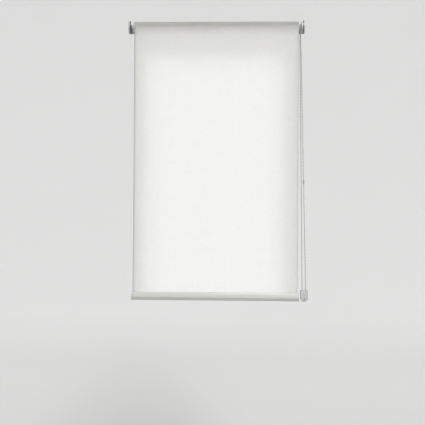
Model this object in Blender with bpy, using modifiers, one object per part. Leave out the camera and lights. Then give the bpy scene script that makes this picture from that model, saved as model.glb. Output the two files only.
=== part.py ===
"""Roller blind: a fabric roll on a tube, hung between two wall brackets, with a
bead-chain drive at its right end, a spring pin at its left end, a weighted bottom
rail and a wall-fixed chain tensioner.

Frame: X runs along the roller, +Y points into the wall and +Z is up. The origin is on
the wall plane, midway across the fabric and level with the roller's axis. All sizes
are in metres.
"""

import math

import bmesh
import bpy
from mathutils import Matrix, Vector

# ---------------------------------------------------------------- driving dimensions
GAP = 0.0003  # air between neighbouring pieces

# Roller and fabric
AXIS_Y = -0.038  # the roller's axis stands this far out from the wall
FABRIC_HALF = 0.340
FABRIC_THICK = 0.0005
TUBE_HALF = 0.341
TUBE_OUTER = 0.0215
TUBE_INNER = 0.0203
RIB_COUNT = 3  # key ribs inside the tube, which turn the crown and the plug
RIB_TIP = 0.0188
RIB_HALF = 0.0010
ROLL_INNER = TUBE_OUTER + GAP
ROLL_OUTER = 0.0227

# Bottom rail
RAIL_TOP = -1.1015
RAIL_HEIGHT = 0.033
RAIL_TOP_HALF = 0.0028  # half thickness at the top, the shoulder, the ridge and the foot
RAIL_SHOULDER_HALF = 0.0062
RAIL_SHOULDER_DEPTH = 0.0095
RAIL_RIDGE_HALF = 0.0080
RAIL_RIDGE_DEPTH = 0.0205
RAIL_FOOT_HALF = 0.0016
RAIL_ROUNDING = 0.0012
HOLLOW_SIDE = ((0.00495, -0.0106), (0.00655, -0.0203), (0.00084, -0.0314))
RAIL_HALF = 0.3405
CAP_THICK = 0.0045
SLOT_HALF = 0.0009
CHANNEL_DEPTH = 0.0059
CHANNEL_RADIUS = 0.0030
SPLINE_RADIUS = 0.0023
WEIGHT_HALF = 0.325
WEIGHT_FOOT = -0.0284
WEIGHT_THICK = 0.004
WEIGHT_HEIGHT = 0.014
CAP_PROUD = 0.0004  # the caps' faces stand this far proud of the rail's section
TONGUE_REACH = 0.010
TONGUE_THICK = 0.006
TONGUE_TOP = -0.0135
TONGUE_FOOT = -0.0265

# Brackets and covers
PLATE_INNER = 0.358
PLATE_THICK = 0.002
PLATE_RADIUS = 0.0262
PLATE_HALF_HEIGHT = 0.016
FLANGE_REACH = 0.333  # the flange runs inwards to here
SCREW_X = 0.3455
SCREW_Z = 0.0095
SCREW_HOLE = 0.0026
SCREW_HEAD = 0.0022  # height of every pan head
BRACKET_SCREW_HEAD = 0.0040  # head and shank radii
BRACKET_SCREW_SHANK = 0.0022
COVER_DEPTH = 0.0052
COVER_RADIUS = 0.0275
COVER_HALF_HEIGHT = 0.0173
COVER_WALL = 0.0015
COVER_BACK = -0.0005  # the covers stop just short of the wall

# Fittings in both ends of the tube
BORE_CLEARANCE = 0.0003
RIM_RADIUS = 0.0213  # the rims that stop against the ends of the tube
RIM_SEAT = TUBE_HALF + GAP

# Idle end
PLUG_INNER_END = 0.3105
PLUG_OUTER_END = 0.3408
PLUG_BORE = 0.0056
PLUG_NECK = 0.0184  # joins the rim to the plug, clear of the tube's ribs
PLUG_FACE = 0.3436
BOSS_RADIUS = 0.0115
BOSS_END = 0.3510
BOSS_CHAMFER = 0.0007
PIN_RADIUS = 0.0030
PIN_TIP = 0.3630
PIN_CHAMFER = 0.0010
PIN_TAIL_RADIUS = 0.0022
PIN_TAIL_END = 0.3190
COLLAR_RADIUS = 0.0052
COLLAR_FACE = 0.3397
COLLAR_THICK = 0.0020
SPRING_RADIUS = 0.0041
SPRING_WIRE = 0.0005
SPRING_START = 0.3368
SPRING_END = 0.3138
SPRING_TURNS = 7
SEAT_OUTER = 0.0053
SEAT_INNER = 0.0026
SEAT_NEAR = 0.3108
SEAT_FAR = 0.3129
BUSH_HOLE = 0.0053
BUSH_SLEEVE = 0.0050
BUSH_FLANGE = 0.0075
BUSH_FLANGE_THICK = 0.0010

# Drive end
CORE_RADIUS = 0.0060
CORE_SHOULDER = 0.3173
CORE_TIP = 0.3125
NECK_RADIUS = 0.0040
BARB_RADIUS = 0.0046
BARB_PLACE = 0.3147
CORE_SQUARE = 0.0080
SQUARE_START = 0.3480
SQUARE_TIP = 0.3630
RETAINER_INNER = 0.0043
RETAINER_OUTER = 0.0094
RETAINER_NEAR = 0.3150
RETAINER_FAR = 0.3170
WHEEL_X = 0.3475
WHEEL_HALF = 0.0036
WHEEL_RIM = 0.0144
WHEEL_BEADS = 12
HOUSING_NEAR = 0.3515
HOUSING_FAR = 0.3577
HOUSING_RADIUS = 0.022
HOUSING_CHAMFER = 0.0015
BARREL_END = 0.3190
BARREL_OUTER = 0.0097
BARREL_INNER = 0.0083
WRAP_RADIUS = 0.0070
WRAP_WIRE = 0.0006
WRAP_LENGTH = 0.0068
WRAP_TURNS = 4
WRAP_STARTS = (0.3212, 0.3325)
TANG_REACH = 0.0093
LUG_ANGLE = math.radians(90)
WINDOW_HALF = math.radians(32)
TANG_HALF = math.radians(20)
CROWN_NEAR = 0.3178
CROWN_FAR = 0.3420
CROWN_INNER = 0.0102
CROWN_LUG_TIP = 0.0082
CROWN_LUG_HALF = 0.0017
CROWN_RIM_INNER = 0.0110
CROWN_RIM_FAR = 0.3424

# Bead chain, tensioner and connector
BEAD_PITCH = 0.006
CHAIN_RADIUS = 0.00225
GROOVE_RADIUS = CHAIN_RADIUS + 0.00035
PULLEY_BEADS = 8
PULLEY_OUT = 0.0086  # the pulley's middle plane stands this far out from the wall
PULLEY_BORE = 0.0039
PULLEY_RIM = 0.0104
PULLEY_HALF = 0.0044
TENSIONER_X = 0.3725
TENSIONER_Z = -1.1273
TENSIONER_RADIUS = 0.0153
TENSIONER_TOP = 0.0327
TENSIONER_WALL = 0.0016
TENSIONER_DEPTH = 0.0160
TENSIONER_BACK = 0.0022
TENSIONER_HOLE = 0.0024
AXLE_RADIUS = 0.0036
FACE_SCREW_HEAD = 0.0039
FACE_SCREW_SHANK = 0.0020
CONNECTOR_Z = -0.643
CONNECTOR_HALF = 0.008
CONNECTOR_RADIUS = 0.0036
CONNECTOR_MOUTH = 0.0031

# Derived places
WHEEL_PITCH = WHEEL_BEADS * BEAD_PITCH / (2 * math.pi)
PULLEY_PITCH = PULLEY_BEADS * BEAD_PITCH / (2 * math.pi)
FABRIC_Y = AXIS_Y - ROLL_OUTER - GAP - FABRIC_THICK / 2

# Outline x, y become world Y, Z, and depth runs along +X.
ALONG_ROLLER = Matrix(((0, 0, 1, 0), (1, 0, 0, 0), (0, 1, 0, 0), (0, 0, 0, 1)))
# Outline x, y become world X, Z, and depth runs out of the wall along -Y.
OUT_OF_WALL = Matrix.Rotation(math.radians(90), 4, "X")
ON_AXIS = Matrix.Translation((0, AXIS_Y, 0)) @ ALONG_ROLLER


# ---------------------------------------------------------------- scene and materials
def clear_scene():
    for item in list(bpy.data.objects):
        bpy.data.objects.remove(item, do_unlink=True)


def new_collection(name):
    collection = bpy.data.collections.new(name)
    bpy.context.scene.collection.children.link(collection)
    return collection


def material(name, colour, roughness, metallic=0.0):
    made = bpy.data.materials.new(name)
    made.use_nodes = True
    shader = made.node_tree.nodes["Principled BSDF"]
    shader.inputs["Base Color"].default_value = (*colour, 1.0)
    shader.inputs["Roughness"].default_value = roughness
    shader.inputs["Metallic"].default_value = metallic
    return made


def white_plastic(name):
    return material(name, (0.80, 0.80, 0.79), 0.40)


def grey_plastic(name):
    return material(name, (0.52, 0.52, 0.52), 0.35)


def steel(name):
    return material(name, (0.62, 0.62, 0.63), 0.35, 1.0)


def aluminium(name):
    return material(name, (0.72, 0.72, 0.71), 0.38, 1.0)


def cloth(name):
    return material(name, (0.84, 0.83, 0.81), 0.85)


# ---------------------------------------------------------------- outlines
def arc(radius, start, end, count, centre=(0.0, 0.0)):
    """Points along an arc, both ends included, angles in radians."""
    points = []
    for k in range(count + 1):
        angle = start + (end - start) * k / count
        points.append(
            (centre[0] + radius * math.cos(angle), centre[1] + radius * math.sin(angle))
        )
    return points


def circle(radius, count=32, centre=(0.0, 0.0)):
    return arc(radius, 0.0, 2 * math.pi, count, centre)[:-1]


def square(side):
    half = side / 2
    return [(-half, -half), (half, -half), (half, half), (-half, half)]


def keyed_circle(radius, key_radius, key_half, count, start=0.0, steps=36):
    """A circle with straight-sided keys that reach in to key_radius."""
    points = []
    wide = math.asin(key_half / radius)
    narrow = math.asin(key_half / key_radius)
    sector = 2 * math.pi / count
    for k in range(count):
        middle = start + k * sector
        points += arc(key_radius, middle - narrow, middle + narrow, 2)
        points += arc(
            radius, middle + wide, middle + sector - wide, max(4, steps // count)
        )
    return points


def bracket_outline(radius, half_height, back):
    """A D seen from the side: round towards the room, square towards the wall."""
    side = math.asin(half_height / radius)
    points = arc(radius, side, 2 * math.pi - side, 28, (AXIS_Y, 0.0))
    return [(back, half_height)] + points + [(back, -half_height)]


def rounded(points, radius, count=3):
    """An open line of points with its inner corners rounded."""
    made = [Vector(points[0])]
    for before, corner, after in zip(points, points[1:], points[2:]):
        corner = Vector(corner)
        back, on = Vector(before) - corner, Vector(after) - corner
        reach = min(
            radius / math.tan(back.angle(on) / 2), 0.45 * back.length, 0.45 * on.length
        )
        start = corner + back.normalized() * reach
        end = corner + on.normalized() * reach
        for k in range(count + 1):
            t = k / count
            made.append(start * (1 - t) ** 2 + corner * 2 * t * (1 - t) + end * t * t)
    return [tuple(point) for point in made + [Vector(points[-1])]]


def rail_side(mouth, proud=0.0):
    """Down one side of the rail's section and up the other, from the top's middle."""
    side = [
        (mouth, proud),
        (RAIL_TOP_HALF + proud, proud),
        (RAIL_SHOULDER_HALF + proud, -RAIL_SHOULDER_DEPTH),
        (RAIL_RIDGE_HALF + proud, -RAIL_RIDGE_DEPTH),
        (RAIL_FOOT_HALF + proud, -RAIL_HEIGHT - proud),
    ]
    return rounded(side + [(-x, y) for x, y in reversed(side)], RAIL_ROUNDING)


def rail_outer():
    """The rail's outside, open at the top into the slot and the hem channel."""
    neck = math.asin(SLOT_HALF / CHANNEL_RADIUS)
    channel = arc(
        CHANNEL_RADIUS,
        math.pi / 2 + neck,
        5 * math.pi / 2 - neck,
        18,
        (0.0, -CHANNEL_DEPTH),
    )
    return rail_side(SLOT_HALF) + channel


def rail_hollow():
    """The space below the hem channel, which holds the weight."""
    return [*HOLLOW_SIDE, *((-x, y) for x, y in reversed(HOLLOW_SIDE))]


def u_outline(radius, top):
    """Round below, square above."""
    return arc(radius, math.pi, 2 * math.pi, 20) + [(radius, top), (-radius, top)]


def grooved_profile(bore, rim, pitch_radius, half_width, middle):
    """A wheel's section with a round groove for the chain, down its outer side."""
    mouth = GROOVE_RADIUS + 0.0006
    points = [
        (bore, middle + half_width),
        (rim, middle + half_width),
        (rim, middle + mouth),
    ]
    for k in range(7):
        angle = math.pi * k / 6
        points.append(
            (
                pitch_radius - GROOVE_RADIUS * math.sin(angle),
                middle + GROOVE_RADIUS * math.cos(angle),
            )
        )
    points += [
        (rim, middle - mouth),
        (rim, middle - half_width),
        (bore, middle - half_width),
    ]
    return points


# ---------------------------------------------------------------- solids
def add_object(name, data, place, finish, collection):
    made = bpy.data.objects.new(name, data)
    made.matrix_world = place
    if finish is not None:
        data.materials.append(finish)
    collection.objects.link(made)
    return made


def smooth(mesh, angle=math.radians(35)):
    mesh.shade_smooth()
    mesh.set_sharp_from_angle(angle=angle)


def flat(name, outlines, low, high, place, finish, collection):
    """Outlines, the later ones holes in the first, extruded from low to high."""
    curve = bpy.data.curves.new(name, "CURVE")
    curve.dimensions = "2D"
    curve.fill_mode = "BOTH"
    curve.extrude = (high - low) / 2
    for outline in outlines:
        spline = curve.splines.new("POLY")
        spline.points.add(len(outline) - 1)
        for point, (x, y) in zip(spline.points, outline):
            point.co = (x, y, 0.0, 1.0)
        spline.use_cyclic_u = True
    shape = bpy.data.objects.new(name + "_outline", curve)
    bpy.context.scene.collection.objects.link(shape)
    graph = bpy.context.evaluated_depsgraph_get()
    mesh = bpy.data.meshes.new_from_object(shape.evaluated_get(graph))
    bpy.data.objects.remove(shape, do_unlink=True)
    work = bmesh.new()
    work.from_mesh(mesh)
    bmesh.ops.remove_doubles(work, verts=work.verts, dist=0.000005)
    bmesh.ops.translate(work, verts=work.verts, vec=(0.0, 0.0, (low + high) / 2))
    bmesh.ops.recalc_face_normals(work, faces=work.faces)
    work.to_mesh(mesh)
    work.free()
    mesh.name = name
    smooth(mesh)
    return add_object(name, mesh, place, finish, collection)


def turned(name, profile, place, finish, collection, steps=32, closed=False):
    """A profile of (radius, distance along the axis), turned by a Screw modifier."""
    mesh = bpy.data.meshes.new(name)
    count = len(profile)
    edges = [(k, k + 1) for k in range(count - 1)]
    if closed:
        edges.append((count - 1, 0))
    mesh.from_pydata([(radius, 0.0, along) for radius, along in profile], edges, [])
    made = add_object(name, mesh, place, finish, collection)
    screw = made.modifiers.new("turn", "SCREW")
    screw.steps = steps
    screw.render_steps = steps
    screw.use_merge_vertices = True
    screw.merge_threshold = 0.00001
    screw.use_smooth_shade = True
    return made


def box(name, low, high, place, finish, collection):
    work = bmesh.new()
    bmesh.ops.create_cube(work, size=1.0)
    size = Vector(high) - Vector(low)
    middle = (Vector(high) + Vector(low)) / 2
    bmesh.ops.scale(work, vec=size, verts=work.verts)
    bmesh.ops.translate(work, vec=middle, verts=work.verts)
    mesh = bpy.data.meshes.new(name)
    work.to_mesh(mesh)
    work.free()
    return add_object(name, mesh, place, finish, collection)


def wire(name, points, radius, place, finish, collection, cyclic=False):
    curve = bpy.data.curves.new(name, "CURVE")
    curve.dimensions = "3D"
    curve.bevel_depth = radius
    curve.bevel_resolution = 2
    curve.use_fill_caps = not cyclic
    spline = curve.splines.new("POLY")
    spline.points.add(len(points) - 1)
    for point, position in zip(spline.points, points):
        point.co = (*position, 1.0)
    spline.use_cyclic_u = cyclic
    return add_object(name, curve, place, finish, collection)


def boolean(target, tool, operation):
    """Cuts or joins tool into target. The tool stays as a hidden guide."""
    tool.hide_render = True
    tool.display_type = "WIRE"
    change = target.modifiers.new(operation.lower() + "_" + tool.name, "BOOLEAN")
    change.operation = operation
    change.solver = "EXACT"
    change.object = tool


def coil(radius, start, end, first, sweep, steps_per_turn):
    """Points along a helix from angle first through sweep, rising from start to end."""
    count = round(abs(sweep) / (2 * math.pi) * steps_per_turn)
    points = []
    for k in range(count + 1):
        share = k / count
        angle = first + sweep * share
        points.append(
            (
                radius * math.cos(angle),
                radius * math.sin(angle),
                start + (end - start) * share,
            )
        )
    return points


# ---------------------------------------------------------------- brackets and covers
def bracket(side, name, hole, parts, guides):
    """A bent steel bracket: a side plate that carries the roller and a wall flange."""
    finish = steel(name + "_steel")
    ends = sorted((side * PLATE_INNER, side * (PLATE_INNER + PLATE_THICK)))
    outline = bracket_outline(PLATE_RADIUS, PLATE_HALF_HEIGHT, 0.0)
    in_plate = [(AXIS_Y + x, y) for x, y in hole]
    plate = flat(name, [outline, in_plate], *ends, ALONG_ROLLER, finish, parts)
    reach = sorted((side * FLANGE_REACH, side * (PLATE_INNER + PLATE_THICK / 2)))
    foot = [
        (reach[0], -PLATE_HALF_HEIGHT),
        (reach[1], -PLATE_HALF_HEIGHT),
        (reach[1], PLATE_HALF_HEIGHT),
        (reach[0], PLATE_HALF_HEIGHT),
    ]
    holes = [
        circle(SCREW_HOLE, 20, (side * SCREW_X, end * SCREW_Z)) for end in (-1, 1)
    ]
    flange = flat(
        name + "_flange", [foot, *holes], 0.0, PLATE_THICK, OUT_OF_WALL, None, guides
    )
    boolean(plate, flange, "UNION")


def cover(side, name, parts, guides):
    """A moulded cap over the outer face of a bracket."""
    near = PLATE_INNER + PLATE_THICK + GAP
    far = near + COVER_DEPTH
    ends = sorted((side * near, side * far))
    finish = white_plastic(name + "_plastic")
    outer = bracket_outline(COVER_RADIUS, COVER_HALF_HEIGHT, COVER_BACK)
    shell = flat(name, [outer], *ends, ALONG_ROLLER, finish, parts)
    pocket = bracket_outline(
        COVER_RADIUS - COVER_WALL, COVER_HALF_HEIGHT - COVER_WALL, COVER_BACK - COVER_WALL
    )
    past = 0.001  # the cutter runs this far past the cover's open side
    cut = sorted((side * (near - past), side * (far - COVER_WALL)))
    cutter = flat(name + "_pocket", [pocket], *cut, ALONG_ROLLER, None, guides)
    boolean(shell, cutter, "DIFFERENCE")


def pan_screw(name, x, z, seat, head_radius, shank_radius, parts):
    """A pan-head screw seated at a distance from the wall, its shank cut at the wall."""
    profile = [
        (0.0, seat + SCREW_HEAD),
        (head_radius * 0.55, seat + SCREW_HEAD * 0.93),
        (head_radius * 0.88, seat + SCREW_HEAD * 0.62),
        (head_radius, seat + SCREW_HEAD * 0.20),
        (head_radius, seat),
        (shank_radius, seat),
        (shank_radius, GAP),
        (0.0, GAP),
    ]
    place = Matrix.Translation((x, 0.0, z)) @ OUT_OF_WALL
    turned(name, profile, place, steel(name + "_steel"), parts, steps=20)


def build_brackets(parts, guides):
    bracket(-1, "bracket_left", circle(BUSH_HOLE, 24), parts, guides)
    bracket(1, "bracket_right", square(CORE_SQUARE + 2 * GAP), parts, guides)
    cover(-1, "cover_left", parts, guides)
    cover(1, "cover_right", parts, guides)
    for side, hand in ((-1, "left"), (1, "right")):
        for end, level in ((1, "upper"), (-1, "lower")):
            pan_screw(
                f"bracket_screw_{hand}_{level}",
                side * SCREW_X,
                end * SCREW_Z,
                PLATE_THICK + GAP,
                BRACKET_SCREW_HEAD,
                BRACKET_SCREW_SHANK,
                parts,
            )


# ---------------------------------------------------------------- tube and fabric
def build_roller(parts):
    tube = [
        circle(TUBE_OUTER, 48),
        keyed_circle(TUBE_INNER, RIB_TIP, RIB_HALF, RIB_COUNT),
    ]
    finish = aluminium("tube_aluminium")
    flat("roller_tube", tube, -TUBE_HALF, TUBE_HALF, ON_AXIS, finish, parts)
    wraps = [
        (ROLL_INNER, FABRIC_HALF),
        (ROLL_OUTER, FABRIC_HALF),
        (ROLL_OUTER, -FABRIC_HALF),
        (ROLL_INNER, -FABRIC_HALF),
    ]
    turned("fabric_roll", wraps, ON_AXIS, cloth("roll_cloth"), parts, 48, closed=True)


def build_fabric_drop(parts):
    bottom = RAIL_TOP - CHANNEL_DEPTH + SPLINE_RADIUS + GAP
    box(
        "fabric_drop",
        (-FABRIC_HALF, FABRIC_Y - FABRIC_THICK / 2, bottom),
        (FABRIC_HALF, FABRIC_Y + FABRIC_THICK / 2, 0.0),
        Matrix.Identity(4),
        cloth("drop_cloth"),
        parts,
    )


# ---------------------------------------------------------------- bottom rail
def build_bottom_rail(parts, guides):
    place = Matrix.Translation((0.0, FABRIC_Y, RAIL_TOP)) @ ALONG_ROLLER
    section = [rail_outer(), rail_hollow()]
    finish = aluminium("rail_aluminium")
    flat("bottom_rail", section, -RAIL_HALF, RAIL_HALF, place, finish, parts)

    rod_end = RAIL_HALF - 0.001
    rod = [(0.0, rod_end), (SPLINE_RADIUS, rod_end), (SPLINE_RADIUS, -rod_end), (0.0, -rod_end)]
    channel = Matrix.Translation((0.0, FABRIC_Y, RAIL_TOP - CHANNEL_DEPTH)) @ ALONG_ROLLER
    turned("hem_spline", rod, channel, white_plastic("spline_plastic"), parts, 16)

    box(
        "rail_weight",
        (-WEIGHT_THICK / 2, WEIGHT_FOOT, -WEIGHT_HALF),
        (WEIGHT_THICK / 2, WEIGHT_FOOT + WEIGHT_HEIGHT, WEIGHT_HALF),
        place,
        steel("weight_steel"),
        parts,
    )
    for side, hand in ((-1, "left"), (1, "right")):
        rail_cap(side, f"rail_cap_{hand}", place, parts, guides)


def rail_cap(side, name, place, parts, guides):
    """A cap with a tongue that presses into the end of the rail."""
    near = RAIL_HALF + GAP
    ends = sorted((side * near, side * (near + CAP_THICK)))
    face = rail_side(0.0005, CAP_PROUD)
    cap = flat(name, [face], *ends, place, white_plastic(name + "_plastic"), parts)
    reach = sorted((side * (RAIL_HALF - TONGUE_REACH), side * (near + CAP_THICK / 2)))
    low = (-TONGUE_THICK / 2, TONGUE_FOOT, reach[0])
    high = (TONGUE_THICK / 2, TONGUE_TOP, reach[1])
    boolean(cap, box(name + "_tongue", low, high, place, None, guides), "UNION")


# ---------------------------------------------------------------- idle end
def build_idle_end(parts, guides):
    """Left end, seen from +X to -X: spring seat, spring, pin, plug and plate bush."""
    finish = white_plastic("idle_plug_plastic")
    barrel = [
        keyed_circle(TUBE_INNER - GAP, RIB_TIP - GAP, RIB_HALF + GAP, RIB_COUNT),
        circle(PLUG_BORE, 24),
    ]
    plug = flat(
        "idle_plug", barrel, -PLUG_OUTER_END, -PLUG_INNER_END, ON_AXIS, finish, parts
    )
    bore = PIN_RADIUS + BORE_CLEARANCE
    neck_start = -PLUG_OUTER_END + 0.0008
    flange = [
        (bore, neck_start),
        (PLUG_NECK, neck_start),
        (PLUG_NECK, -RIM_SEAT),
        (RIM_RADIUS, -RIM_SEAT),
        (RIM_RADIUS, -PLUG_FACE),
        (BOSS_RADIUS, -PLUG_FACE),
        (BOSS_RADIUS, -BOSS_END + BOSS_CHAMFER),
        (BOSS_RADIUS - BOSS_CHAMFER, -BOSS_END),
        (bore, -BOSS_END),
    ]
    boss = turned("idle_plug_boss", flange, ON_AXIS, None, guides, 36, closed=True)
    boolean(plug, boss, "UNION")

    collar = -COLLAR_FACE
    shaft = [
        (0.0, -PIN_TAIL_END),
        (PIN_TAIL_RADIUS, -PIN_TAIL_END),
        (PIN_TAIL_RADIUS, collar + COLLAR_THICK),
        (COLLAR_RADIUS, collar + COLLAR_THICK),
        (COLLAR_RADIUS, collar),
        (PIN_RADIUS, collar),
        (PIN_RADIUS, -PIN_TIP + PIN_CHAMFER),
        (PIN_RADIUS - PIN_CHAMFER, -PIN_TIP),
        (0.0, -PIN_TIP),
    ]
    turned("idle_pin", shaft, ON_AXIS, steel("pin_steel"), parts, 24)

    sweep = SPRING_TURNS * 2 * math.pi
    spring = coil(SPRING_RADIUS, -SPRING_START, -SPRING_END, 0.0, sweep, 10)
    wire("idle_spring", spring, SPRING_WIRE, ON_AXIS, steel("idle_spring_steel"), parts)

    seat = [
        (SEAT_INNER, -SEAT_NEAR),
        (SEAT_OUTER, -SEAT_NEAR),
        (SEAT_OUTER, -SEAT_FAR),
        (SEAT_INNER, -SEAT_FAR),
    ]
    finish = steel("seat_steel")
    turned("idle_spring_seat", seat, ON_AXIS, finish, parts, 24, closed=True)

    inner = -PLATE_INNER + GAP
    tip = inner - GAP - PLATE_THICK
    bush = [
        (bore, inner + BUSH_FLANGE_THICK),
        (BUSH_FLANGE, inner + BUSH_FLANGE_THICK),
        (BUSH_FLANGE, inner),
        (BUSH_SLEEVE, inner),
        (BUSH_SLEEVE, tip),
        (bore, tip),
    ]
    turned("idle_bush", bush, ON_AXIS, grey_plastic("bush_plastic"), parts, 24, closed=True)


# ---------------------------------------------------------------- drive end
def build_drive_end(parts, guides):
    """Right end: a fixed core with two wrap springs, the chain wheel and the crown."""
    build_core(parts, guides)
    build_housing(parts, guides)
    build_wheel(parts, guides)
    for number, start in enumerate(WRAP_STARTS, 1):
        wrap_spring(f"wrap_spring_{number}", start, parts)
    build_crown(parts, guides)


def build_core(parts, guides):
    """The fixed core: a shaft with a barb at its tip and a square end for the bracket."""
    shaft = [
        (0.0, HOUSING_NEAR - GAP),
        (CORE_RADIUS, HOUSING_NEAR - GAP),
        (CORE_RADIUS, CORE_SHOULDER),
        (NECK_RADIUS, CORE_SHOULDER),
        (NECK_RADIUS, BARB_PLACE),
        (BARB_RADIUS, BARB_PLACE),
        (NECK_RADIUS, CORE_TIP),
        (0.0, CORE_TIP),
    ]
    core = turned("drive_core", shaft, ON_AXIS, grey_plastic("core_plastic"), parts)
    half = CORE_SQUARE / 2
    low, high = (-half, -half, SQUARE_START), (half, half, SQUARE_TIP)
    boolean(core, box("drive_core_square", low, high, ON_AXIS, None, guides), "UNION")

    washer = [
        (RETAINER_INNER, RETAINER_FAR),
        (RETAINER_OUTER, RETAINER_FAR),
        (RETAINER_OUTER, RETAINER_NEAR),
        (RETAINER_INNER, RETAINER_NEAR),
    ]
    finish = steel("retainer_steel")
    turned("drive_retainer", washer, ON_AXIS, finish, parts, 28, closed=True)


def build_housing(parts, guides):
    """The disc between the wheel and the bracket, keyed onto the core's square end."""
    disc = [
        (0.0, HOUSING_FAR),
        (HOUSING_RADIUS - HOUSING_CHAMFER, HOUSING_FAR),
        (HOUSING_RADIUS, HOUSING_FAR - HOUSING_CHAMFER),
        (HOUSING_RADIUS, HOUSING_NEAR + HOUSING_CHAMFER),
        (HOUSING_RADIUS - HOUSING_CHAMFER, HOUSING_NEAR),
        (0.0, HOUSING_NEAR),
    ]
    finish = white_plastic("housing_plastic")
    housing = turned("drive_housing", disc, ON_AXIS, finish, parts, 40)
    half = CORE_SQUARE / 2 + GAP
    past = 0.002  # the cutter runs this far past both faces
    low = (-half, -half, HOUSING_NEAR - past)
    high = (half, half, HOUSING_FAR + past)
    slot = box("drive_housing_slot", low, high, ON_AXIS, None, guides)
    boolean(housing, slot, "DIFFERENCE")


def build_wheel(parts, guides):
    """The chain wheel, with a C-shaped barrel that turns the springs' tangs."""
    section = grooved_profile(
        CORE_RADIUS + BORE_CLEARANCE, WHEEL_RIM, WHEEL_PITCH, WHEEL_HALF, WHEEL_X
    )
    finish = grey_plastic("wheel_plastic")
    wheel = turned("chain_wheel", section, ON_AXIS, finish, parts, 36, closed=True)
    first = LUG_ANGLE + WINDOW_HALF
    last = LUG_ANGLE - WINDOW_HALF + 2 * math.pi
    c_section = arc(BARREL_OUTER, first, last, 28) + arc(BARREL_INNER, last, first, 28)
    into_wheel = WHEEL_X - WHEEL_HALF + 0.001
    barrel = flat(
        "chain_wheel_barrel", [c_section], BARREL_END, into_wheel, ON_AXIS, None, guides
    )
    boolean(wheel, barrel, "UNION")


def wrap_spring(name, start, parts):
    """A brake spring on the core, with a tang at each end."""
    first = LUG_ANGLE + TANG_HALF
    sweep = WRAP_TURNS * 2 * math.pi - 2 * TANG_HALF
    turns = coil(WRAP_RADIUS, start, start + WRAP_LENGTH, first, sweep, 14)
    tangs = []
    for angle, along in ((first, start), (LUG_ANGLE - TANG_HALF, start + WRAP_LENGTH)):
        tangs.append((TANG_REACH * math.cos(angle), TANG_REACH * math.sin(angle), along))
    route = [tangs[0], *turns, tangs[1]]
    wire(name, route, WRAP_WIRE, ON_AXIS, steel(name + "_steel"), parts)


def build_crown(parts, guides):
    """The sleeve that turns the tube, with a lug between the springs' tangs."""
    section = [
        keyed_circle(TUBE_INNER - GAP, RIB_TIP - GAP, RIB_HALF + GAP, RIB_COUNT),
        keyed_circle(CROWN_INNER, CROWN_LUG_TIP, CROWN_LUG_HALF, 1, LUG_ANGLE),
    ]
    finish = white_plastic("crown_plastic")
    crown = flat("drive_crown", section, CROWN_NEAR, CROWN_FAR, ON_AXIS, finish, parts)
    rim = [
        (CROWN_RIM_INNER, CROWN_RIM_FAR),
        (RIM_RADIUS, CROWN_RIM_FAR),
        (RIM_RADIUS, RIM_SEAT),
        (CROWN_RIM_INNER, RIM_SEAT),
    ]
    ring = turned("drive_crown_rim", rim, ON_AXIS, None, guides, 36, closed=True)
    boolean(crown, ring, "UNION")


# ---------------------------------------------------------------- bead chain
def strand_ends():
    """Where the room-side and wall-side strands leave the wheel and meet the pulley."""
    room_top = Vector((WHEEL_X, AXIS_Y - WHEEL_PITCH, 0.0))
    wall_top = Vector((WHEEL_X, AXIS_Y + WHEEL_PITCH, 0.0))
    room_foot = Vector((TENSIONER_X + PULLEY_PITCH, -PULLEY_OUT, TENSIONER_Z))
    wall_foot = Vector((TENSIONER_X - PULLEY_PITCH, -PULLEY_OUT, TENSIONER_Z))
    return room_top, wall_top, room_foot, wall_foot


def chain_route():
    """The closed loop: over the wheel, down the wall strand, round and up again."""
    room_top, wall_top, room_foot, wall_foot = strand_ends()
    points = []
    for y, z in arc(WHEEL_PITCH, math.pi, 0.0, 12, (AXIS_Y, 0.0)):
        points.append(Vector((WHEEL_X, y, z)))
    for k in range(1, 10):
        points.append(wall_top.lerp(wall_foot, k / 10))
    for x, z in arc(PULLEY_PITCH, math.pi, 2 * math.pi, 10, (TENSIONER_X, TENSIONER_Z)):
        points.append(Vector((x, -PULLEY_OUT, z)))
    for k in range(1, 10):
        points.append(room_foot.lerp(room_top, k / 10))
    return points


def build_chain(parts):
    finish = white_plastic("chain_plastic")
    here = Matrix.Identity(4)
    wire("bead_chain", chain_route(), CHAIN_RADIUS, here, finish, parts, cyclic=True)
    room_top, _, room_foot, _ = strand_ends()
    share = (CONNECTOR_Z - room_foot.z) / (room_top.z - room_foot.z)
    middle = room_foot.lerp(room_top, share)
    turn = (room_top - room_foot).to_track_quat("Z", "Y").to_matrix().to_4x4()
    bore = CHAIN_RADIUS + GAP
    shoulder = CONNECTOR_HALF - 0.001
    sleeve = [
        (bore, CONNECTOR_HALF),
        (CONNECTOR_MOUTH, CONNECTOR_HALF),
        (CONNECTOR_RADIUS, shoulder),
        (CONNECTOR_RADIUS, -shoulder),
        (CONNECTOR_MOUTH, -CONNECTOR_HALF),
        (bore, -CONNECTOR_HALF),
    ]
    place = Matrix.Translation(middle) @ turn
    finish = white_plastic("connector_plastic")
    turned("chain_connector", sleeve, place, finish, parts, 16, closed=True)


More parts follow.
